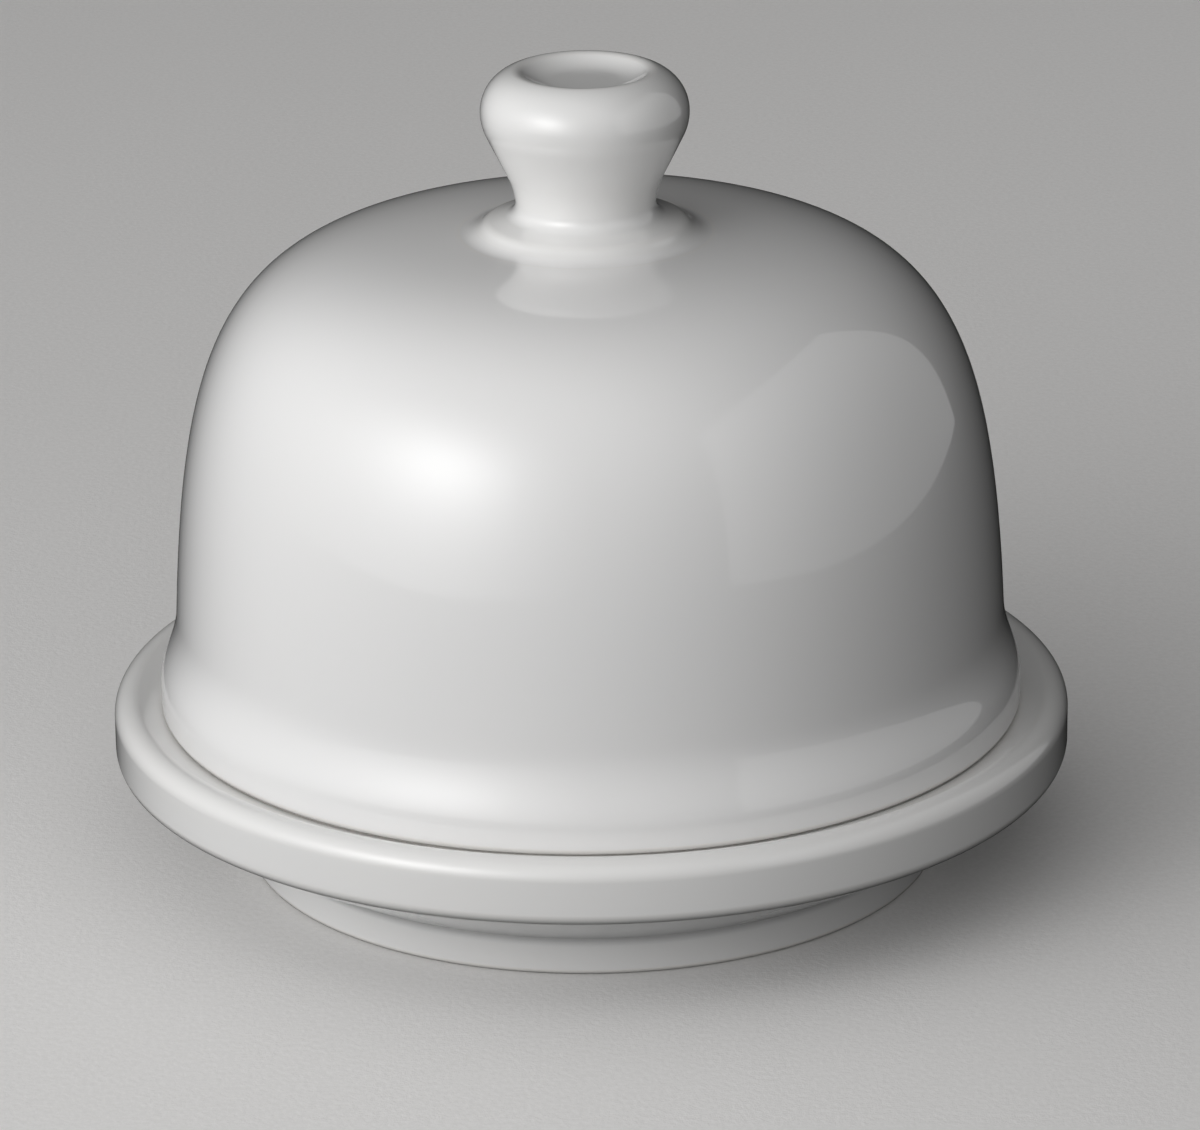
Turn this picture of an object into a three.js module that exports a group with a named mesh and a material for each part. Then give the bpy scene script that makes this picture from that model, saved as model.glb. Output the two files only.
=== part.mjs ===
// A round porcelain butter dish: a base dish with a foot ring and a rolled rim, and a bell-shaped lid whose knob
// is formed on its own and stuck to the bell before firing. Millimetres, +Z up, the dish's foot on z = 0.
//
// Every piece is turned about the Z axis, so each is one closed outline in the (r, z) half plane. An outline runs
// anticlockwise: out along the underside, up the outside, and back to the axis over the top.

import * as THREE from 'three';

// ---- Base dish ----
const DISH_RADIUS = 50;
const RIM_TOP = 17.82;           // height of the rim's crest
const RIM_OUTER_ROUND = 2;       // rounding of the crest towards the outside
const RIM_INNER_ROUND = 1.8;     // rounding of the crest towards the lid
const RIM_INNER_RADIUS = 47.68;  // where the crest would meet the slope down to the ledge if both were sharp
const RIM_LOWER_EDGE = 11.65;    // height of the outer wall's lower edge if it were sharp
const RIM_LOWER_ROUND = 1.4;
const LEDGE_HEIGHT = 16.6;       // the ledge that carries the lid
const LEDGE_OUTER_RADIUS = 44.66;
const LEDGE_OUTER_ROUND = 0.4;
const LEDGE_INNER_RADIUS = 39.8;
const LEDGE_INNER_ROUND = 1.2;
const WELL_RADIUS = 36.2;        // the butter well, at its floor
const WELL_FLOOR = 7.6;
const WELL_CORNER_ROUND = 4;
const FOOT_RADIUS = 36.3;
const FOOT_INNER_RADIUS = 33.1;
const FOOT_EDGE_ROUND = 0.5;
const FOOT_NECK_RADIUS = 35.8;   // where the foot's outside meets the sloping underside
const FOOT_NECK_HEIGHT = 3.75;
const FOOT_NECK_ROUND = 1.2;
const FOOT_RECESS = 3;           // height of the underside inside the foot ring
const FOOT_RECESS_ROUND = 1;

// ---- Lid bell ----
const LIP_RADIUS = 45.05;
const LIP_INNER_RADIUS = 40.3;
const LIP_OUTER_ROUND = 0.8;
const LIP_INNER_ROUND = 1.3;
const LIP_BAND_TOP = 19.3;       // top of the lip's upright band, where the flare starts
const LIP_FLARE_LOWER_PULL = 2;  // lengths of the flare curve's two handles
const LIP_FLARE_UPPER_PULL = 3.7;
const WALL_FOOT = 27;            // height where the flare has become the bell's wall
const WALL_RADIUS = 43.18;       // outer radius at that height
const WALL_LEAN = 2.7;           // degrees that the wall leans inwards there
const WALL_PULL = 31;            // handle lengths of the bell's outer curve
const CROWN_PULL = 23.4;
const CROWN_HEIGHT = 67.06;
const WALL_THICKNESS = 4;
const INNER_WALL_PULL = 33;      // handle lengths of the bell's inner curve
const INNER_CROWN_PULL = 33;
const INNER_CROWN_HEIGHT = 62.9;

// ---- Lid knob, with its collar ----
const ROOT_ROUND = 3.2;          // broad fillet between the bell's crown and the collar's bead
const SEAM_TURN = 30;            // degrees of that fillet that belong to the bell
const BEAD_RADIUS = 9.35;        // centre of the collar's bead
const BEAD_HEIGHT = 66.73;
const BEAD_ROUND = 1.8;
const WAIST_RADIUS = 7.15;
const WAIST_HEIGHT = 69.6;
const STEM_HOLLOW = 7.9;         // radius of the stem's hollow curve
const STEM_FOOT_ROUND = 1.5;     // the tighter fillet that ends it on the collar
const STEM_FOOT_TURN = 6.4;      // degrees above the waist where that fillet starts
const HEAD_RADIUS = 10.67;
const HEAD_HEIGHT = 79.8;        // height where the head is widest
const HEAD_LOWER_ROUND = 5.25;
const HEAD_UPPER_ROUND = 4.47;
const HEAD_UPPER_TURN = 72.3;    // degrees of the upper round before the tighter edge of the dimple
const DIMPLE_EDGE_ROUND = 1.5;
const DIMPLE_SLOPE = 35;         // degrees, the steepest slope inside the dimple
const DIMPLE_HOLLOW = 5;         // radius of the hollow between that slope and the dimple's flat floor

// ---- Facets ----
const FACETS_AROUND = 64;
const KNOB_FACETS_AROUND = 48;
const DEGREES_PER_STEP = 24;
const CURVE_STEPS = 12;
const FLARE_STEPS = 6;

const point = (r, z) => new THREE.Vector2(r, z);
const radians = THREE.MathUtils.degToRad;
const degrees = THREE.MathUtils.radToDeg;

// A point at an angle and a distance from a centre. Angles are in degrees: 0 points outwards and 90 up.
function around(centre, distance, angle) {
  return point(
    centre.x + distance * Math.cos(radians(angle)),
    centre.y + distance * Math.sin(radians(angle)),
  );
}

// The points of an arc, both ends included.
function arc(centre, radius, from, to) {
  const steps = Math.max(2, Math.ceil(Math.abs(to - from) / DEGREES_PER_STEP));
  return Array.from({ length: steps + 1 }, (_, i) => around(centre, radius, from + ((to - from) * i) / steps));
}

// A polyline whose middle corners are rounded. A corner is [r, z, radius]; the two ends are [r, z].
function roundedLine(corners) {
  const points = corners.map(([r, z]) => point(r, z));
  const line = [points[0]];
  for (let i = 1; i < points.length - 1; i++) {
    const back = points[i - 1].clone().sub(points[i]).normalize();
    const ahead = points[i + 1].clone().sub(points[i]).normalize();
    const radius = corners[i][2];
    const halfAngle = Math.acos(THREE.MathUtils.clamp(back.dot(ahead), -1, 1)) / 2;
    const middle = back.clone().add(ahead).normalize();
    const centre = points[i].clone().addScaledVector(middle, radius / Math.sin(halfAngle));
    const start = points[i].clone().addScaledVector(back, radius / Math.tan(halfAngle));
    const startAngle = degrees(start.clone().sub(centre).angle());
    const turn = (180 - degrees(2 * halfAngle)) * Math.sign(ahead.cross(back));
    line.push(...arc(centre, radius, startAngle, startAngle + turn));
  }
  line.push(points.at(-1));
  return line;
}

// The points of a cubic curve with the given ends and handles, without its first point.
function curve(start, startHandle, endHandle, end, steps) {
  return new THREE.CubicBezierCurve(start, startHandle, endHandle, end).getPoints(steps).slice(1);
}

// The direction, in degrees, from a hollow arc's centre to where the line that crosses over to a round arc
// leaves it. Both arcs touch the line, one on each side. The sign of side picks one of the two such lines.
function crossing(hollow, hollowRadius, round, roundRadius, side) {
  const between = round.clone().sub(hollow);
  const swing = degrees(Math.acos((hollowRadius + roundRadius) / between.length()));
  return degrees(between.angle()) + side * swing;
}

// A closed solid of revolution from an outline that starts and ends on the axis.
function turned(outline, facets) {
  const geometry = new THREE.LatheGeometry(outline, facets);
  geometry.rotateX(Math.PI / 2);
  return geometry;
}

function glazed(name, geometry, colour) {
  const material = new THREE.MeshStandardMaterial({ color: colour, roughness: 0.15, metalness: 0 });
  const mesh = new THREE.Mesh(geometry, material);
  mesh.name = name;
  return mesh;
}

function dishOutline() {
  return roundedLine([
    [0, FOOT_RECESS],
    [FOOT_INNER_RADIUS, FOOT_RECESS, FOOT_RECESS_ROUND],
    [FOOT_INNER_RADIUS, 0, FOOT_EDGE_ROUND],
    [FOOT_RADIUS, 0, FOOT_EDGE_ROUND],
    [FOOT_NECK_RADIUS, FOOT_NECK_HEIGHT, FOOT_NECK_ROUND],
    [DISH_RADIUS, RIM_LOWER_EDGE, RIM_LOWER_ROUND],
    [DISH_RADIUS, RIM_TOP, RIM_OUTER_ROUND],
    [RIM_INNER_RADIUS, RIM_TOP, RIM_INNER_ROUND],
    [LEDGE_OUTER_RADIUS, LEDGE_HEIGHT, LEDGE_OUTER_ROUND],
    [LEDGE_INNER_RADIUS, LEDGE_HEIGHT, LEDGE_INNER_ROUND],
    [WELL_RADIUS, WELL_FLOOR, WELL_CORNER_ROUND],
    [0, WELL_FLOOR],
  ]);
}

const beadCentre = point(BEAD_RADIUS, BEAD_HEIGHT);

// Centre of the fillet that lies on the crown and touches the collar's bead.
const rootCentre = point(
  BEAD_RADIUS + Math.sqrt((BEAD_ROUND + ROOT_ROUND) ** 2 - (CROWN_HEIGHT + ROOT_ROUND - BEAD_HEIGHT) ** 2),
  CROWN_HEIGHT + ROOT_ROUND,
);
const SEAM_ANGLE = -90 - SEAM_TURN;
const seam = around(rootCentre, ROOT_ROUND, SEAM_ANGLE);

function bellOutline() {
  const upWall = point(-Math.sin(radians(WALL_LEAN)), Math.cos(radians(WALL_LEAN)));
  const wallFoot = point(WALL_RADIUS, WALL_FOOT);
  const innerWallFoot = point(WALL_RADIUS - WALL_THICKNESS, WALL_FOOT);
  const lip = roundedLine([
    [innerWallFoot.x, innerWallFoot.y],
    [LIP_INNER_RADIUS, LEDGE_HEIGHT, LIP_INNER_ROUND],
    [LIP_RADIUS, LEDGE_HEIGHT, LIP_OUTER_ROUND],
    [LIP_RADIUS, LIP_BAND_TOP],
  ]);
  const flare = curve(
    point(LIP_RADIUS, LIP_BAND_TOP),
    point(LIP_RADIUS, LIP_BAND_TOP + LIP_FLARE_LOWER_PULL),
    wallFoot.clone().addScaledVector(upWall, -LIP_FLARE_UPPER_PULL),
    wallFoot,
    FLARE_STEPS,
  );
  const outside = curve(
    wallFoot,
    wallFoot.clone().addScaledVector(upWall, WALL_PULL),
    point(rootCentre.x + CROWN_PULL, CROWN_HEIGHT),
    point(rootCentre.x, CROWN_HEIGHT),
    CURVE_STEPS,
  );
  const rootFillet = arc(rootCentre, ROOT_ROUND, -90, SEAM_ANGLE).slice(1);
  const inside = curve(
    point(0, INNER_CROWN_HEIGHT),
    point(INNER_CROWN_PULL, INNER_CROWN_HEIGHT),
    innerWallFoot.clone().addScaledVector(upWall, INNER_WALL_PULL),
    innerWallFoot,
    CURVE_STEPS,
  ).slice(0, -1);
  return [point(0, INNER_CROWN_HEIGHT), ...inside, ...lip, ...flare, ...outside, ...rootFillet, point(0, seam.y)];
}

function knobOutline() {
  const rootToBead = degrees(beadCentre.clone().sub(rootCentre).angle()) - 360;
  const stemCentre = point(WAIST_RADIUS + STEM_HOLLOW, WAIST_HEIGHT);
  const stemFootCentre = around(stemCentre, STEM_HOLLOW - STEM_FOOT_ROUND, 180 - STEM_FOOT_TURN);
  const collarTop = crossing(stemFootCentre, STEM_FOOT_ROUND, beadCentre, BEAD_ROUND, -1);
  const headLowerCentre = point(HEAD_RADIUS - HEAD_LOWER_ROUND, HEAD_HEIGHT);
  const cone = crossing(stemCentre, STEM_HOLLOW, headLowerCentre, HEAD_LOWER_ROUND, 1);
  const headUpperCentre = point(HEAD_RADIUS - HEAD_UPPER_ROUND, HEAD_HEIGHT);
  const edgeCentre = around(headUpperCentre, HEAD_UPPER_ROUND - DIMPLE_EDGE_ROUND, HEAD_UPPER_TURN);
  const dimpleCentre = around(edgeCentre, DIMPLE_EDGE_ROUND + DIMPLE_HOLLOW, 90 + DIMPLE_SLOPE);
  return [
    point(0, seam.y),
    ...arc(rootCentre, ROOT_ROUND, SEAM_ANGLE, rootToBead),
    ...arc(beadCentre, BEAD_ROUND, rootToBead + 180, collarTop - 180).slice(1),
    ...arc(stemFootCentre, STEM_FOOT_ROUND, collarTop - 360, -180 - STEM_FOOT_TURN),
    ...arc(stemCentre, STEM_HOLLOW, 180 - STEM_FOOT_TURN, cone).slice(1),
    ...arc(headLowerCentre, HEAD_LOWER_ROUND, cone - 180, 0),
    ...arc(headUpperCentre, HEAD_UPPER_ROUND, 0, HEAD_UPPER_TURN).slice(1),
    ...arc(edgeCentre, DIMPLE_EDGE_ROUND, HEAD_UPPER_TURN, 90 + DIMPLE_SLOPE).slice(1),
    ...arc(dimpleCentre, DIMPLE_HOLLOW, DIMPLE_SLOPE - 90, -90).slice(1),
    point(0, dimpleCentre.y - DIMPLE_HOLLOW),
  ];
}

const butterDish = new THREE.Group();
butterDish.add(glazed('base_dish', turned(dishOutline(), FACETS_AROUND), 0xe6e5e3));
butterDish.add(glazed('lid_bell', turned(bellOutline(), FACETS_AROUND), 0xe8e7e6));
butterDish.add(glazed('lid_knob', turned(knobOutline(), KNOB_FACETS_AROUND), 0xe9e8e6));

export default butterDish;
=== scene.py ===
"""Looks for a round porcelain butter dish: a footed base dish under a bell-shaped lid with a dimpled knob.

Every piece is an outline in the (r, z) half plane, turned about the Z axis. Outline sizes are in millimetres
and run anticlockwise: out along the underside, up the outside, and back to the axis over the top.
"""

import math

import bpy
from mathutils import Matrix, Vector, geometry


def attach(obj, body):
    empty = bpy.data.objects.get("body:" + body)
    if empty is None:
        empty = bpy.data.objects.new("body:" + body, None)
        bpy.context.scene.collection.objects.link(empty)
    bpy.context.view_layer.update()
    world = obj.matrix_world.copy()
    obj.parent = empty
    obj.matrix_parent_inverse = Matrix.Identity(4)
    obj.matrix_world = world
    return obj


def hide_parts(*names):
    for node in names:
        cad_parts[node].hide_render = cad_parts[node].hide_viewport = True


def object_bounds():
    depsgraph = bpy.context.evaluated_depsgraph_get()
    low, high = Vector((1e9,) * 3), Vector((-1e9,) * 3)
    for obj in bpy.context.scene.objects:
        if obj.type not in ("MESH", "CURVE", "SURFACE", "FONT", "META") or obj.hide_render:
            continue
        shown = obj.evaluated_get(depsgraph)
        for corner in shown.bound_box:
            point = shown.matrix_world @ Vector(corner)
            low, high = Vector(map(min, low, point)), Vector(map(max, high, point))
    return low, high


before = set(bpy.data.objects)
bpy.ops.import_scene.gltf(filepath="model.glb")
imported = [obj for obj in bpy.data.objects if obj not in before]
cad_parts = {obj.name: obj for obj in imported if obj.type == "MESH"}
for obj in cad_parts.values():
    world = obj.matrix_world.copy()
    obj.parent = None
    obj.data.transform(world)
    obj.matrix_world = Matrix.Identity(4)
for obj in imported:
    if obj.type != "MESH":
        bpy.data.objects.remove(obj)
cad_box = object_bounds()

MM = 0.001

# ---- Base dish ----
DISH_RADIUS = 50
RIM_TOP = 17.82          # height of the rim's crest
RIM_OUTER_ROUND = 2      # rounding of the crest towards the outside
RIM_INNER_ROUND = 1.8    # rounding of the crest towards the lid
RIM_INNER_RADIUS = 47.68
RIM_LOWER_EDGE = 11.65   # height of the outer wall's lower edge if it were sharp
RIM_LOWER_ROUND = 1.4
LEDGE_HEIGHT = 16.6      # the ledge that carries the lid
LEDGE_OUTER_RADIUS = 44.66
LEDGE_OUTER_ROUND = 0.4
LEDGE_INNER_RADIUS = 39.8
LEDGE_INNER_ROUND = 1.2
WELL_RADIUS = 36.2       # the butter well, at its floor
WELL_FLOOR = 7.6
WELL_CORNER_ROUND = 4
FOOT_RADIUS = 36.3
FOOT_INNER_RADIUS = 33.1
FOOT_EDGE_ROUND = 0.5
FOOT_NECK_RADIUS = 35.8  # where the foot's outside meets the sloping underside
FOOT_NECK_HEIGHT = 3.75
FOOT_NECK_ROUND = 1.2
FOOT_RECESS = 3          # height of the underside inside the foot ring
FOOT_RECESS_ROUND = 1

# ---- Lid bell ----
LIP_RADIUS = 45.05
LIP_INNER_RADIUS = 40.3
LIP_OUTER_ROUND = 0.8
LIP_INNER_ROUND = 1.3
LIP_BAND_TOP = 19.3        # top of the lip's upright band, where the flare starts
LIP_FLARE_LOWER_PULL = 2   # lengths of the flare curve's two handles
LIP_FLARE_UPPER_PULL = 3.7
WALL_FOOT = 27             # height where the flare has become the bell's wall
WALL_RADIUS = 43.18        # outer radius at that height
WALL_LEAN = 2.7            # degrees that the wall leans inwards there
WALL_PULL = 31             # handle lengths of the bell's outer curve
CROWN_PULL = 23.4
CROWN_HEIGHT = 67.06
WALL_THICKNESS = 4
INNER_WALL_PULL = 33       # handle lengths of the bell's inner curve
INNER_CROWN_PULL = 33
INNER_CROWN_HEIGHT = 62.9

# ---- Lid knob, with its collar ----
ROOT_ROUND = 3.2        # broad fillet between the bell's crown and the collar's bead
SEAM_TURN = 30          # degrees of that fillet that belong to the bell
BEAD_RADIUS = 9.35      # centre of the collar's bead
BEAD_HEIGHT = 66.73
BEAD_ROUND = 1.8
WAIST_RADIUS = 7.15
WAIST_HEIGHT = 69.6
STEM_HOLLOW = 7.9       # radius of the stem's hollow curve
STEM_FOOT_ROUND = 1.5   # the tighter fillet that ends it on the collar
STEM_FOOT_TURN = 6.4    # degrees from the waist where that fillet starts
HEAD_RADIUS = 10.67
HEAD_HEIGHT = 79.8      # height where the head is widest
HEAD_LOWER_ROUND = 5.25
HEAD_UPPER_ROUND = 4.47
HEAD_UPPER_TURN = 72.3  # degrees of the upper round before the tighter edge of the dimple
DIMPLE_EDGE_ROUND = 1.5
DIMPLE_SLOPE = 35       # degrees, the steepest slope inside the dimple
DIMPLE_HOLLOW = 5       # radius of the hollow between that slope and the dimple's flat floor

# ---- Mesh ----
SEGMENTS = 256           # facets round the axis
DEGREES_PER_STEP = 4     # along an outline's arcs
CURVE_STEPS = 64
FLARE_STEPS = 20
LONGEST_STEP = 1.6       # mm, along an outline's straight runs
SHORTEST_STEP = 1e-6     # mm, below which two points of an outline are one
SHARP_TURN = 25          # degrees between neighbouring facets that make a crisp edge

# ---- Where the glaze stops, as (inner radius, outer radius, lowest, highest) ----
GLAZED_EDGE = 1          # width of the glazed strip at each side of the ledge and the lip's mouth
FLAT_MARGIN = 0.05       # height that still counts as part of a flat face
RUBBED_HEIGHT = 0.12     # how far up a rounded edge the bare body shows
DISH_BARE_BANDS = [
    (FOOT_INNER_RADIUS, FOOT_RADIUS, -FLAT_MARGIN, RUBBED_HEIGHT),
    (
        LEDGE_INNER_RADIUS + GLAZED_EDGE,
        LIP_RADIUS - GLAZED_EDGE,
        LEDGE_HEIGHT - FLAT_MARGIN,
        LEDGE_HEIGHT + FLAT_MARGIN,
    ),
]
BELL_BARE_BANDS = [
    (
        LIP_INNER_RADIUS + GLAZED_EDGE,
        LIP_RADIUS - GLAZED_EDGE,
        LEDGE_HEIGHT - FLAT_MARGIN,
        LEDGE_HEIGHT + RUBBED_HEIGHT,
    ),
]

# ---- Glaze: sizes in mm, colours linear ----
# A noise is (feature size, octaves, strength of each next octave).
DISH_WHITE = (0.79, 0.785, 0.775)
BELL_WHITE = (0.80, 0.795, 0.79)
KNOB_WHITE = (0.80, 0.795, 0.785)
THIN_GLAZE_TINT = (1.0, 0.985, 0.96)
THICK_GLAZE_TINT = (0.975, 0.98, 0.985)
NOISE_REACH = (0.1, 0.9)         # nearly all values of a noise lie between these
CLOUDS = (24, 1, 0.5)
CLOUD_SHARE = 0.8
MOTTLE = (1.3, 2, 0.5)
MOTTLE_SHARE = 0.12
EDGE_BEND = (0.25, 1.6)          # bend in 1 / mm where thinning starts and is complete
HOLLOW_BEND = (-0.15, -1.2)
IRON_SPECKS = (7.0, 0.16, 0.10)  # spacing, largest radius, share of the cells that have one
IRON_STRENGTH = 0.45
IRON_COLOUR = (0.20, 0.15, 0.11)
ASH_SPECKS = (1.9, 0.055, 0.10)
ASH_STRENGTH = 0.4
SMALLEST_SPECK = 0.3             # as a share of the largest one's radius
SPECK_SOFTNESS = 0.5             # width of a speck's soft edge, as a share of the largest radius
GRIT = (0.4, 1, 0.5)
GLAZE_ROUGHNESS = (0.275, 0.285)
SMEARS = (14, 1, 0.5)
GLOSS_ROUGHNESS = (0.035, 0.055)
EDGE_ROUGHNESS = 0.08
CREST_BEND = (0.25, 0.55)        # bend in 1 / mm over which the gloss loses its sharpness
CREST_ROUGHNESS = 0.1
PINHOLES = (5.0, 0.09, 0.1)
PINHOLE_DEPTH = 0.012
WAVES = (16, 1, 0.5)
WAVE_DEPTH = 0.04
PEEL = (1.6, 1, 0.5)
PEEL_DEPTH = 0.0008
BODY_SPECULAR = 0.25
GLAZE_IOR = 1.5

# ---- Biscuit, the bare fired body ----
BISCUIT_GRAIN = (0.25, 3, 0.7)
BISCUIT_GRAIN_SPAN = (0.35, 0.65)  # noise values between which the colour changes
BISCUIT_COLOUR = (0.71, 0.68, 0.63)
BISCUIT_LIGHT = (0.77, 0.75, 0.71)
BISCUIT_BUMP = 0.02
BISCUIT_ROUGHNESS = (0.65, 0.45)
SCUFFS = (2.2, 5, 0.75)
SCUFF_SPAN = (0.52, 0.72)          # noise values where a scuff starts and is complete
SCUFF_SHARE = 0.4
SCUFF_COLOUR = (0.42, 0.40, 0.38)

# ---- Floor ----
PAPER_COLOUR = (0.82, 0.81, 0.80)
PAPER_LIGHT = (0.88, 0.87, 0.86)
PAPER_TOOTH = (0.7, 4, 0.7)
PAPER_CLOUDS = (120, 2, 0.5)
PAPER_SPAN = (0.3, 0.7)  # noise values between which the colour changes
PAPER_CLOUD_SHARE = 0.3
PAPER_ROUGHNESS = 0.85
PAPER_BUMP = 0.05
FLOOR_REACH = 8          # metres from the dish to the floor's edges

# ---- Light: metres, and azimuths in degrees to the right of the camera's side ----
KEY_AZIMUTH = -52
KEY_SCRIM = {"azimuth": KEY_AZIMUTH, "distance": 0.5, "width": 0.61, "height": 0.62, "radiance": 2.5}
KEY_SPOT = {"middle": (0.085, -0.055), "spread": (0.16, 0.125)}
KEY_SPILL = {"azimuth": KEY_AZIMUTH, "distance": 0.52, "width": 1.3, "height": 0.9, "radiance": 2.36}
SPILL_SPOT = {"middle": (0.079, -0.17), "spread": (0.32, 0.27)}
WHITE_BOARD = {"azimuth": 90, "distance": 0.43, "width": 0.91, "height": 0.6, "radiance": 0.58}
BOARD_SHIFT = -0.105     # along Y, towards the camera
AMBIENT_GLOWS = [        # azimuth, elevation, strength
    (-100, 15, 0.85),
    (-20, 0, 0.12),
    (-20, 60, 0.52),
    (20, 30, 0.6),
]
GLOW_TIGHTNESS = 9

# ---- Camera ----
CAMERA_ELEVATION = 20.277
CAMERA_ROLL = -0.596
CAMERA_DISTANCE = 0.6394
CAMERA_SIDE = 1.07 * MM  # how far to the right of the axis it looks
CAMERA_AIM = 0.3635      # height it looks at, as a share of the dish's height
CAMERA_LENS = 183.79
CAMERA_NEAREST = 0.01


# ---------------------------------------------------------------------------------------------- Outlines

def polar(centre, distance, angle):
    """The point at a distance and an angle, in degrees, from a centre: 0 points outwards and 90 up."""
    turn = math.radians(angle)
    return centre + distance * Vector((math.cos(turn), math.sin(turn)))


def direction(vector):
    """The angle in degrees that a vector points in."""
    return math.degrees(math.atan2(vector.y, vector.x))


def arc(centre, radius, start, end):
    """The points of an arc, both ends included."""
    steps = max(2, math.ceil(abs(end - start) / DEGREES_PER_STEP))
    return [polar(centre, radius, start + (end - start) * i / steps) for i in range(steps + 1)]


def rounded_line(corners):
    """A polyline with rounded middle corners. A corner is (r, z, radius), and the two ends are (r, z)."""
    points = [Vector(corner[:2]) for corner in corners]
    line = [points[0]]
    for before, corner, after, (_, _, radius) in zip(points, points[1:], points[2:], corners[1:-1]):
        back = (before - corner).normalized()
        ahead = (after - corner).normalized()
        half_angle = back.angle(ahead) / 2
        centre = corner + (back + ahead).normalized() * radius / math.sin(half_angle)
        start = direction(corner + back * radius / math.tan(half_angle) - centre)
        turn = 180 - math.degrees(2 * half_angle)
        side = -1 if back.cross(ahead) > 0 else 1
        line += arc(centre, radius, start, start + side * turn)
    return line + [points[-1]]


def curve(start, start_handle, end_handle, end, steps):
    """The points of a cubic curve, without its first point."""
    return geometry.interpolate_bezier(start, start_handle, end_handle, end, steps + 1)[1:]


def crossing(hollow, hollow_radius, rounded, rounded_radius, side):
    """Where the straight line that touches a hollow arc and a round arc leaves the hollow one.

    It is given as the direction from the hollow arc's centre, on one side of the line between the centres.
    """
    between = rounded - hollow
    swing = math.degrees(math.acos((hollow_radius + rounded_radius) / between.length))
    return direction(between) + side * swing


def subdivided(outline):
    """The outline with its long straight runs split up."""
    fine = [outline[0]]
    for a, b in zip(outline, outline[1:]):
        if (b - a).length < SHORTEST_STEP:
            continue
        steps = math.ceil((b - a).length / LONGEST_STEP)
        fine += [a.lerp(b, (i + 1) / steps) for i in range(steps)]
    return fine


bead_centre = Vector((BEAD_RADIUS, BEAD_HEIGHT))
root_height = CROWN_HEIGHT + ROOT_ROUND
root_reach = math.sqrt((BEAD_ROUND + ROOT_ROUND) ** 2 - (root_height - BEAD_HEIGHT) ** 2)
root_centre = Vector((BEAD_RADIUS + root_reach, root_height))
SEAM_ANGLE = -90 - SEAM_TURN
seam = polar(root_centre, ROOT_ROUND, SEAM_ANGLE)


def dish_outline():
    return rounded_line([
        (0, FOOT_RECESS),
        (FOOT_INNER_RADIUS, FOOT_RECESS, FOOT_RECESS_ROUND),
        (FOOT_INNER_RADIUS, 0, FOOT_EDGE_ROUND),
        (FOOT_RADIUS, 0, FOOT_EDGE_ROUND),
        (FOOT_NECK_RADIUS, FOOT_NECK_HEIGHT, FOOT_NECK_ROUND),
        (DISH_RADIUS, RIM_LOWER_EDGE, RIM_LOWER_ROUND),
        (DISH_RADIUS, RIM_TOP, RIM_OUTER_ROUND),
        (RIM_INNER_RADIUS, RIM_TOP, RIM_INNER_ROUND),
        (LEDGE_OUTER_RADIUS, LEDGE_HEIGHT, LEDGE_OUTER_ROUND),
        (LEDGE_INNER_RADIUS, LEDGE_HEIGHT, LEDGE_INNER_ROUND),
        (WELL_RADIUS, WELL_FLOOR, WELL_CORNER_ROUND),
        (0, WELL_FLOOR),
    ])


def bell_outline():
    lean = math.radians(WALL_LEAN)
    up_wall = Vector((-math.sin(lean), math.cos(lean)))
    wall_foot = Vector((WALL_RADIUS, WALL_FOOT))
    inner_wall_foot = Vector((WALL_RADIUS - WALL_THICKNESS, WALL_FOOT))
    inner_crown = Vector((0, INNER_CROWN_HEIGHT))
    band_top = Vector((LIP_RADIUS, LIP_BAND_TOP))
    crown_edge = Vector((root_centre.x, CROWN_HEIGHT))
    inside = curve(
        inner_crown,
        inner_crown + Vector((INNER_CROWN_PULL, 0)),
        inner_wall_foot + INNER_WALL_PULL * up_wall,
        inner_wall_foot,
        CURVE_STEPS,
    )
    lip = rounded_line([
        tuple(inner_wall_foot),
        (LIP_INNER_RADIUS, LEDGE_HEIGHT, LIP_INNER_ROUND),
        (LIP_RADIUS, LEDGE_HEIGHT, LIP_OUTER_ROUND),
        tuple(band_top),
    ])
    flare = curve(
        band_top,
        band_top + Vector((0, LIP_FLARE_LOWER_PULL)),
        wall_foot - LIP_FLARE_UPPER_PULL * up_wall,
        wall_foot,
        FLARE_STEPS,
    )
    outside = curve(
        wall_foot,
        wall_foot + WALL_PULL * up_wall,
        crown_edge + Vector((CROWN_PULL, 0)),
        crown_edge,
        CURVE_STEPS,
    )
    root_fillet = arc(root_centre, ROOT_ROUND, -90, SEAM_ANGLE)
    return [inner_crown, *inside, *lip, *flare, *outside, *root_fillet, Vector((0, seam.y))]


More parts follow.
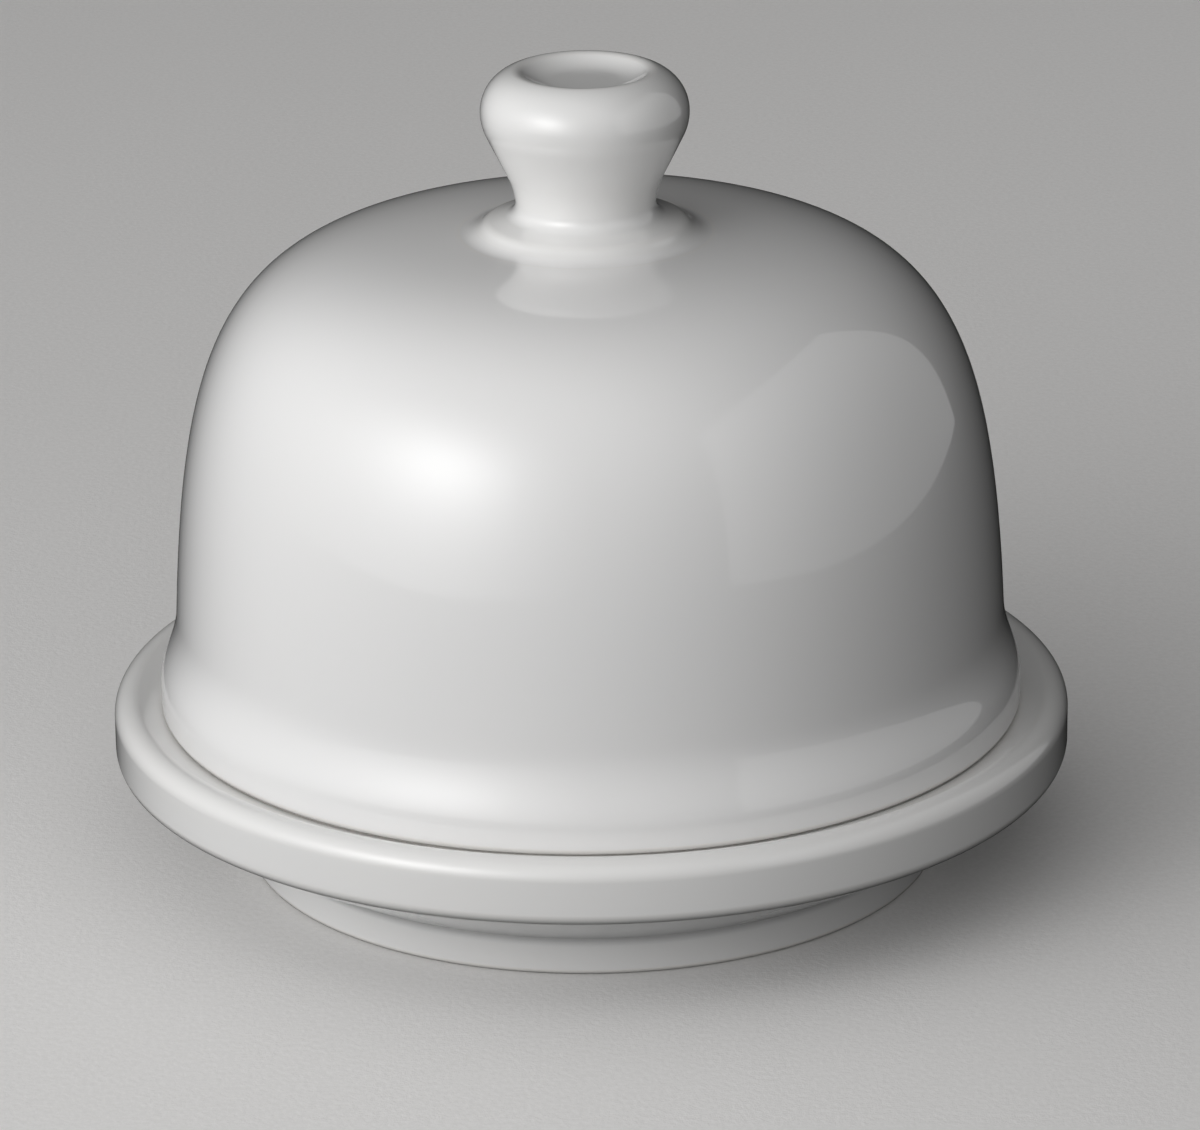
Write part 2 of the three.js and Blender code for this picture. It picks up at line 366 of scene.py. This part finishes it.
def knob_outline():
    root_to_bead = direction(bead_centre - root_centre)
    stem_centre = Vector((WAIST_RADIUS + STEM_HOLLOW, WAIST_HEIGHT))
    stem_foot_centre = polar(stem_centre, STEM_HOLLOW - STEM_FOOT_ROUND, 180 - STEM_FOOT_TURN)
    collar_top = crossing(stem_foot_centre, STEM_FOOT_ROUND, bead_centre, BEAD_ROUND, -1) % 360
    head_lower_centre = Vector((HEAD_RADIUS - HEAD_LOWER_ROUND, HEAD_HEIGHT))
    cone = crossing(stem_centre, STEM_HOLLOW, head_lower_centre, HEAD_LOWER_ROUND, 1)
    head_upper_centre = Vector((HEAD_RADIUS - HEAD_UPPER_ROUND, HEAD_HEIGHT))
    edge_centre = polar(head_upper_centre, HEAD_UPPER_ROUND - DIMPLE_EDGE_ROUND, HEAD_UPPER_TURN)
    dimple_centre = polar(edge_centre, DIMPLE_EDGE_ROUND + DIMPLE_HOLLOW, 90 + DIMPLE_SLOPE)
    return [
        Vector((0, seam.y)),
        *arc(root_centre, ROOT_ROUND, SEAM_ANGLE, root_to_bead),
        *arc(bead_centre, BEAD_ROUND, root_to_bead + 180, collar_top - 180),
        *arc(stem_foot_centre, STEM_FOOT_ROUND, collar_top - 360, -180 - STEM_FOOT_TURN),
        *arc(stem_centre, STEM_HOLLOW, 180 - STEM_FOOT_TURN, cone),
        *arc(head_lower_centre, HEAD_LOWER_ROUND, cone - 180, 0),
        *arc(head_upper_centre, HEAD_UPPER_ROUND, 0, HEAD_UPPER_TURN),
        *arc(edge_centre, DIMPLE_EDGE_ROUND, HEAD_UPPER_TURN, 90 + DIMPLE_SLOPE),
        *arc(dimple_centre, DIMPLE_HOLLOW, DIMPLE_SLOPE - 90, -90),
        Vector((0, dimple_centre.y - DIMPLE_HOLLOW)),
    ]


# ------------------------------------------------------------------------------------------------ Meshes

def bends(outline):
    """How sharply the outline bends at each point, in turns of 1 / mm: positive where it is convex."""
    values = []
    for before, here, after in zip([outline[0], *outline], outline, [*outline[1:], outline[-1]]):
        behind, ahead = here - before, after - here
        if behind.length == 0 or ahead.length == 0:
            values.append(0)
        else:
            turn = math.asin(behind.normalized().cross(ahead.normalized()))
            values.append(2 * turn / (behind.length + ahead.length))
    return values


def turned(name, outline, bare_bands):
    """A closed mesh turned from an outline that starts and ends on the axis.

    Faces in a bare band take the second material. The bend attribute says how convex the outline is.
    """
    outline = subdivided(outline)
    rings = outline[1:-1]
    turns = [2 * math.pi * i / SEGMENTS for i in range(SEGMENTS)]
    points = [
        (p.x * math.cos(turn), p.x * math.sin(turn), p.y)
        for p in rings
        for turn in turns
    ]
    bottom = len(points)
    top = bottom + 1
    points += [(0, 0, outline[0].y), (0, 0, outline[-1].y)]
    last = (len(rings) - 1) * SEGMENTS
    faces = []
    bare = []
    for i in range(SEGMENTS):
        j = (i + 1) % SEGMENTS
        faces += [(bottom, j, i), (top, last + i, last + j)]
        bare += [False, False]
        for ring, (low_point, high_point) in enumerate(zip(rings, rings[1:])):
            low, high = ring * SEGMENTS, (ring + 1) * SEGMENTS
            faces.append((low + i, low + j, high + j, high + i))
            middle = (low_point + high_point) / 2
            bare.append(any(r0 < middle.x < r1 and z0 < middle.y < z1 for r0, r1, z0, z1 in bare_bands))
    mesh = bpy.data.meshes.new(name)
    mesh.from_pydata([Vector(p) * MM for p in points], [], faces)
    mesh.polygons.foreach_set("material_index", bare)
    bend = mesh.attributes.new("bend", "FLOAT", "POINT")
    bend_of_ring = bends(outline)[1:-1]
    bend.data.foreach_set("value", [value for value in bend_of_ring for _ in turns] + [0, 0])
    mesh.shade_smooth()
    mesh.set_sharp_from_angle(angle=math.radians(SHARP_TURN))
    piece = bpy.data.objects.new(name, mesh)
    bpy.context.scene.collection.objects.link(piece)
    return piece


# --------------------------------------------------------------------------------------------- Materials

def feed(tree, socket, value):
    """Links a node's output to a socket, or sets the socket to a plain value."""
    if isinstance(value, bpy.types.NodeSocket):
        tree.links.new(value, socket)
    else:
        socket.default_value = value


def calculate(tree, kind, operation, *values):
    """Adds a Math or Vector Math node with those inputs."""
    node = tree.nodes.new(kind)
    node.operation = operation
    for socket, value in zip(node.inputs, values):
        feed(tree, socket, value)
    return node


class Nodes:
    """Short ways to add and join the nodes of one material. Sizes are in millimetres."""

    def __init__(self, name):
        self.material = bpy.data.materials.new(name)
        self.material.use_nodes = True
        self.tree = self.material.node_tree
        self.shader = self.tree.nodes["Principled BSDF"]
        self.place = self.add("ShaderNodeTexCoord").outputs["Object"]

    def add(self, kind, **settings):
        node = self.tree.nodes.new(kind)
        for setting, value in settings.items():
            setattr(node, setting, value)
        return node

    def put(self, node, **inputs):
        """Sets or links a node's inputs. An underscore in a name stands for a space."""
        for name, value in inputs.items():
            feed(self.tree, node.inputs[name.replace("_", " ")], value)
        return node

    def noise(self, size, octaves, gain):
        """Cloudy noise from 0 to 1, with features of about that size."""
        node = self.put(
            self.add("ShaderNodeTexNoise"),
            Vector=self.place,
            Scale=1 / (size * MM),
            Detail=octaves,
            Roughness=gain,
        )
        return node.outputs["Fac"]

    def ramp(self, value, low, high, to_low=0.0, to_high=1.0):
        """The value, spread from low..high to to_low..to_high, clamped and eased."""
        node = self.put(
            self.add("ShaderNodeMapRange", interpolation_type="SMOOTHSTEP"),
            Value=value,
            From_Min=low,
            From_Max=high,
            To_Min=to_low,
            To_Max=to_high,
        )
        return node.outputs["Result"]

    def math(self, operation, *values):
        return calculate(self.tree, "ShaderNodeMath", operation, *values).outputs["Value"]

    def mix(self, factor, a, b):
        """Colour a where factor is 0 and b where it is 1."""
        node = self.add("ShaderNodeMix", data_type="RGBA")
        factor_socket, a_socket, b_socket = [
            next(socket for socket in node.inputs if socket.identifier == identifier)
            for identifier in ("Factor_Float", "A_Color", "B_Color")
        ]
        feed(self.tree, factor_socket, factor)
        for socket, colour in ((a_socket, a), (b_socket, b)):
            feed(self.tree, socket, (*colour, 1) if isinstance(colour, tuple) else colour)
        return next(socket for socket in node.outputs if socket.identifier == "Result_Color")

    def specks(self, spacing, radius, share):
        """1 in scattered round specks and 0 elsewhere. Only that share of the cells has one."""
        largest = radius / spacing
        cells = self.put(
            self.add("ShaderNodeTexVoronoi", feature="F1"),
            Vector=self.place,
            Scale=1 / (spacing * MM),
            Randomness=1.0,
        )
        pick = self.put(self.add("ShaderNodeSeparateColor"), Color=cells.outputs["Color"])
        chosen = self.math("LESS_THAN", pick.outputs["Red"], share)
        smallest = largest * SMALLEST_SPECK
        size = self.math("MULTIPLY_ADD", pick.outputs["Green"], largest - smallest, smallest)
        near = self.math("SUBTRACT", size, cells.outputs["Distance"])
        round_speck = self.ramp(near, 0.0, largest * SPECK_SOFTNESS)
        return self.math("MULTIPLY", chosen, round_speck)

    def bump(self, height, depth=1):
        """A bump that is depth millimetres high where height is 1."""
        node = self.put(self.add("ShaderNodeBump"), Height=height, Distance=depth * MM, Strength=1)
        return node.outputs["Normal"]

    def bend(self):
        """How convex the outline is here, in 1 / mm."""
        return self.add("ShaderNodeAttribute", attribute_name="bend").outputs["Fac"]


def glaze(name, colour):
    """Glossy white glaze, thinner over edges and thicker in hollows, with the small marks of the kiln."""
    n = Nodes(name)
    warm = tuple(c * w for c, w in zip(colour, THIN_GLAZE_TINT))
    cool = tuple(c * w for c, w in zip(colour, THICK_GLAZE_TINT))
    cloud = n.ramp(n.noise(*CLOUDS), *NOISE_REACH)
    tone = n.mix(n.math("MULTIPLY", cloud, CLOUD_SHARE), colour, cool)
    fine = n.ramp(n.noise(*MOTTLE), *NOISE_REACH)
    tone = n.mix(n.math("MULTIPLY", fine, MOTTLE_SHARE), tone, warm)
    bend = n.bend()
    edge = n.ramp(bend, *EDGE_BEND)
    hollow = n.ramp(bend, *HOLLOW_BEND)
    tone = n.mix(edge, tone, warm)
    tone = n.mix(hollow, tone, cool)
    iron = n.specks(*IRON_SPECKS)
    tone = n.mix(n.math("MULTIPLY", iron, IRON_STRENGTH), tone, IRON_COLOUR)
    ash = n.specks(*ASH_SPECKS)
    tone = n.mix(n.math("MULTIPLY", ash, ASH_STRENGTH), tone, IRON_COLOUR)

    grit = n.ramp(n.noise(*GRIT), *NOISE_REACH, *GLAZE_ROUGHNESS)
    roughness = n.math("ADD", grit, n.math("MULTIPLY", edge, EDGE_ROUGHNESS))
    smear = n.ramp(n.noise(*SMEARS), *NOISE_REACH, *GLOSS_ROUGHNESS)
    gloss = n.math("ADD", smear, n.ramp(bend, *CREST_BEND, 0.0, CREST_ROUGHNESS))

    pinholes = n.specks(*PINHOLES)
    height = n.math("MULTIPLY", n.noise(*WAVES), WAVE_DEPTH)
    height = n.math("ADD", height, n.math("MULTIPLY", n.noise(*PEEL), PEEL_DEPTH))
    height = n.math("SUBTRACT", height, n.math("MULTIPLY", pinholes, PINHOLE_DEPTH))
    normal = n.bump(height)

    n.put(
        n.shader,
        Base_Color=tone,
        Roughness=roughness,
        Normal=normal,
        Coat_Normal=normal,
        Specular_IOR_Level=BODY_SPECULAR,
        Coat_Weight=1.0,
        Coat_Roughness=gloss,
        Coat_IOR=GLAZE_IOR,
    )
    return n.material


def biscuit(name):
    """Bare fired porcelain, where a piece rests on something: matte, warm, grainy and scuffed."""
    n = Nodes(name)
    grain = n.noise(*BISCUIT_GRAIN)
    tone = n.mix(n.ramp(grain, *BISCUIT_GRAIN_SPAN), BISCUIT_COLOUR, BISCUIT_LIGHT)
    scuffs = n.ramp(n.noise(*SCUFFS), *SCUFF_SPAN)
    tone = n.mix(n.math("MULTIPLY", scuffs, SCUFF_SHARE), tone, SCUFF_COLOUR)
    tone = n.mix(n.specks(*ASH_SPECKS), tone, IRON_COLOUR)
    normal = n.bump(grain, BISCUIT_BUMP)
    roughness = n.ramp(scuffs, 0.0, 1.0, *BISCUIT_ROUGHNESS)
    n.put(n.shader, Base_Color=tone, Roughness=roughness, Normal=normal)
    return n.material


def paper(name):
    """Matte studio paper with a fine tooth."""
    n = Nodes(name)
    tooth = n.noise(*PAPER_TOOTH)
    tone = n.mix(n.ramp(tooth, *PAPER_SPAN), PAPER_COLOUR, PAPER_LIGHT)
    cloud = n.ramp(n.noise(*PAPER_CLOUDS), *PAPER_SPAN)
    tone = n.mix(n.math("MULTIPLY", cloud, PAPER_CLOUD_SHARE), tone, PAPER_COLOUR)
    n.put(n.shader, Base_Color=tone, Roughness=PAPER_ROUGHNESS, Normal=n.bump(tooth, PAPER_BUMP))
    return n.material


# ------------------------------------------------------------------------------------------ Studio

def make_floor():
    """A sheet of studio paper that gives the dish no bounced light and no reflection."""
    mesh = bpy.data.meshes.new("studio_floor")
    corners = [(x * FLOOR_REACH, y * FLOOR_REACH, 0) for x, y in ((-1, -1), (1, -1), (1, 1), (-1, 1))]
    mesh.from_pydata(corners, [], [range(len(corners))])
    mesh.materials.append(paper("studio_paper"))
    floor = bpy.data.objects.new("studio_floor", mesh)
    floor.visible_diffuse = False
    floor.visible_glossy = False
    bpy.context.scene.collection.objects.link(floor)


def towards(azimuth, elevation):
    """The direction from the dish at an azimuth and elevation in degrees, 0 being the camera's side."""
    a, e = math.radians(azimuth), math.radians(elevation)
    return Vector((math.sin(a) * math.cos(e), -math.cos(a) * math.cos(e), math.sin(e)))


def make_panel(name, azimuth, distance, width, height, radiance):
    """An upright panel that stands on the floor and faces the dish."""
    light = bpy.data.lights.new(name, "AREA")
    light.shape = "RECTANGLE"
    light.size = width
    light.size_y = height
    light.energy = radiance * math.pi * width * height
    panel = bpy.data.objects.new(name, light)
    facing = towards(azimuth, 0)
    panel.location = facing * distance + Vector((0, 0, height / 2))
    panel.rotation_euler = facing.to_track_quat("Z", "Y").to_euler()
    panel.visible_camera = False
    bpy.context.scene.collection.objects.link(panel)
    return panel


def add_hot_spot(light, middle, spread):
    """Makes a panel brightest at a spot, in metres from its own middle.

    From there it fades like a bell curve of that spread.
    """
    light.use_nodes = True
    tree = light.node_tree
    place = tree.nodes.new("ShaderNodeNewGeometry").outputs["Parametric"]
    spot = (0.5 + middle[0] / light.size, 0.5 + middle[1] / light.size_y, 0)
    scale = (light.size / spread[0], light.size_y / spread[1], 0)
    offset = calculate(tree, "ShaderNodeVectorMath", "SUBTRACT", place, spot).outputs["Vector"]
    offset = calculate(tree, "ShaderNodeVectorMath", "MULTIPLY", offset, scale).outputs["Vector"]
    square = calculate(tree, "ShaderNodeVectorMath", "DOT_PRODUCT", offset, offset).outputs["Value"]
    minus = calculate(tree, "ShaderNodeMath", "MULTIPLY", square, -1).outputs["Value"]
    bell_curve = calculate(tree, "ShaderNodeMath", "EXPONENT", minus).outputs["Value"]
    tree.links.new(bell_curve, tree.nodes["Emission"].inputs["Strength"])


def make_ambient():
    """The room: dark, but for broad soft glows, each given by its direction and strength."""
    world = bpy.data.worlds.new("studio")
    world.use_nodes = True
    tree = world.node_tree
    view = tree.nodes.new("ShaderNodeTexCoord").outputs["Generated"]
    total = 0
    for azimuth, elevation, strength in AMBIENT_GLOWS:
        middle = towards(azimuth, elevation)
        nearness = calculate(tree, "ShaderNodeVectorMath", "DOT_PRODUCT", view, middle).outputs["Value"]
        share = calculate(tree, "ShaderNodeMath", "MULTIPLY_ADD", nearness, 0.5, 0.5).outputs["Value"]
        narrow = calculate(tree, "ShaderNodeMath", "POWER", share, GLOW_TIGHTNESS).outputs["Value"]
        total = calculate(tree, "ShaderNodeMath", "MULTIPLY_ADD", narrow, strength, total).outputs["Value"]
    background = tree.nodes["Background"]
    background.inputs["Color"].default_value = (1, 1, 1, 1)
    tree.links.new(total, background.inputs["Strength"])
    bpy.context.scene.world = world


def make_lights():
    """A soft key on the left with its broad spill, a dim white board on the right, and the room.

    The board shows only as a reflection in the glaze.
    """
    key = make_panel("key_scrim", **KEY_SCRIM)
    add_hot_spot(key.data, **KEY_SPOT)
    spill = make_panel("key_spill", **KEY_SPILL)
    add_hot_spot(spill.data, **SPILL_SPOT)
    board = make_panel("white_board", **WHITE_BOARD)
    board.location.y = BOARD_SHIFT
    board.visible_diffuse = False
    make_ambient()
    bpy.context.scene.view_settings.view_transform = "Standard"


def make_camera():
    """A long lens from a little above, looking at the lower part of the bell."""
    target = Vector((CAMERA_SIDE, 0, CAMERA_AIM * cad_box[1].z))
    elevation = math.radians(CAMERA_ELEVATION)
    back = Vector((0, -math.cos(elevation), math.sin(elevation)))
    data = bpy.data.cameras.new("camera")
    data.lens = CAMERA_LENS
    data.clip_start = CAMERA_NEAREST
    camera = bpy.data.objects.new("camera", data)
    bpy.context.scene.collection.objects.link(camera)
    aim = (-back).to_track_quat("-Z", "Y").to_matrix().to_4x4()
    roll = Matrix.Rotation(math.radians(CAMERA_ROLL), 4, "Z")
    camera.matrix_world = Matrix.Translation(target + back * CAMERA_DISTANCE) @ aim @ roll
    bpy.context.scene.camera = camera


def finish_piece(piece, colour, bare_bands, body, slot, node):
    """Gives a piece its materials, its body, its slot and the CAD node that it takes the place of."""
    piece.data.materials.append(glaze(slot, colour))
    if bare_bands:
        piece.data.materials.append(biscuit(node + "_biscuit"))
    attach(piece, body)
    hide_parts(node)


base_dish = turned("porcelain_base_dish", dish_outline(), DISH_BARE_BANDS)
finish_piece(base_dish, DISH_WHITE, DISH_BARE_BANDS, "dish", "dish_glaze", "base_dish")
lid_bell = turned("porcelain_lid_bell", bell_outline(), BELL_BARE_BANDS)
finish_piece(lid_bell, BELL_WHITE, BELL_BARE_BANDS, "lid", "bell_glaze", "lid_bell")
lid_knob = turned("porcelain_lid_knob", knob_outline(), [])
finish_piece(lid_knob, KNOB_WHITE, [], "lid", "knob_glaze", "lid_knob")
make_floor()
make_lights()
make_camera()
